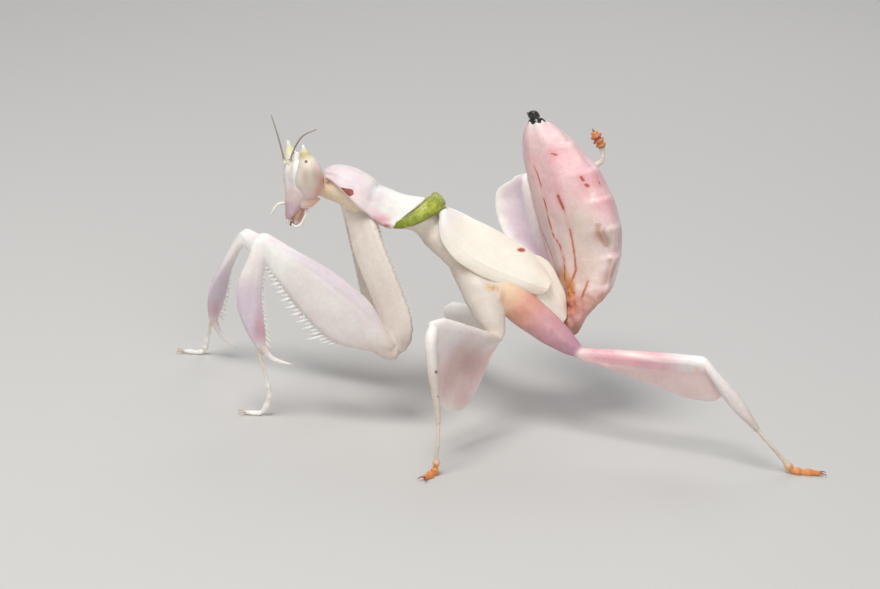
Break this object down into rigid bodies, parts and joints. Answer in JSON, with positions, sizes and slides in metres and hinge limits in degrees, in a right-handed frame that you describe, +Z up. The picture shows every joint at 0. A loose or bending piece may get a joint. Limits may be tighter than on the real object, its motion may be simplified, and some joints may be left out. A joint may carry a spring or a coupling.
{
  "type": "orchid mantis",
  "caption": "Still life-size model of a young female orchid mantis with wing pads, petal-shaped leg lobes and a raised pink abdomen.",
  "frame": {"origin": "on the floor, at the middle of the bounding box's base", "axes": "+Z up; the head is towards -X and the animal's left side towards -Y"},
  "size_m": [0.0584, 0.0376, 0.0278],
  "materials": {
    "pearl_shell": "satin pearl-white cuticle with a pink blush",
    "cream_shell": "satin cream-white cuticle",
    "peach_skin": "soft cream to orange skin of the joints",
    "leg_skin": "satin lilac-white cuticle, pink in places",
    "abdomen_pink": "satin pink and beige cuticle with thin orange-brown lines",
    "green_ridge": "glossy yellow-green ridge",
    "eye": "smooth glossy cream-grey eye",
    "feeler": "thin grey-brown feeler",
    "black_tip": "glossy black",
    "orange_foot": "semi-gloss orange"
  },
  "bodies": {
    "root": {"head": "pearl_shell", "eye_left": "eye", "eye_right": "eye", "vertex_cone": "cream_shell", "jaws": "peach_skin", "antenna_left": "feeler", "antenna_right": "feeler", "palp_left": "cream_shell", "palp_right": "cream_shell", "neck": "peach_skin", "pronotum": "pearl_shell", "collar": "green_ridge", "thorax_front": "peach_skin", "thorax_rear": "peach_skin", "wing_pad_fore_left": "cream_shell", "wing_pad_fore_right": "cream_shell", "wing_pad_hind_left": "cream_shell", "wing_pad_hind_right": "cream_shell", "abdomen_1": "abdomen_pink", "abdomen_2": "abdomen_pink", "abdomen_3": "abdomen_pink", "abdomen_4": "abdomen_pink", "abdomen_5": "abdomen_pink", "abdomen_6": "abdomen_pink", "abdomen_7": "abdomen_pink", "abdomen_tip": "black_tip", "leg_fore_left_coxa": "leg_skin", "leg_fore_left_femur": "leg_skin", "leg_fore_left_tibia": "leg_skin", "leg_fore_left_tarsus": "cream_shell", "leg_fore_right_coxa": "leg_skin", "leg_fore_right_femur": "leg_skin", "leg_fore_right_tibia": "leg_skin", "leg_fore_right_tarsus": "cream_shell", "leg_mid_left_coxa": "leg_skin", "leg_mid_left_femur": "leg_skin", "leg_mid_left_tibia": "leg_skin", "leg_mid_left_tarsus": "orange_foot", "leg_mid_right_coxa": "leg_skin", "leg_mid_right_femur": "leg_skin", "leg_mid_right_tibia": "leg_skin", "leg_mid_right_tarsus": "orange_foot", "leg_hind_left_coxa": "leg_skin", "leg_hind_left_femur": "leg_skin", "leg_hind_left_tibia": "leg_skin", "leg_hind_left_tarsus": "orange_foot", "leg_hind_right_coxa": "leg_skin", "leg_hind_right_femur": "leg_skin", "leg_hind_right_tibia": "leg_skin", "leg_hind_right_tarsus": "orange_foot"}
  },
  "joints": []
}
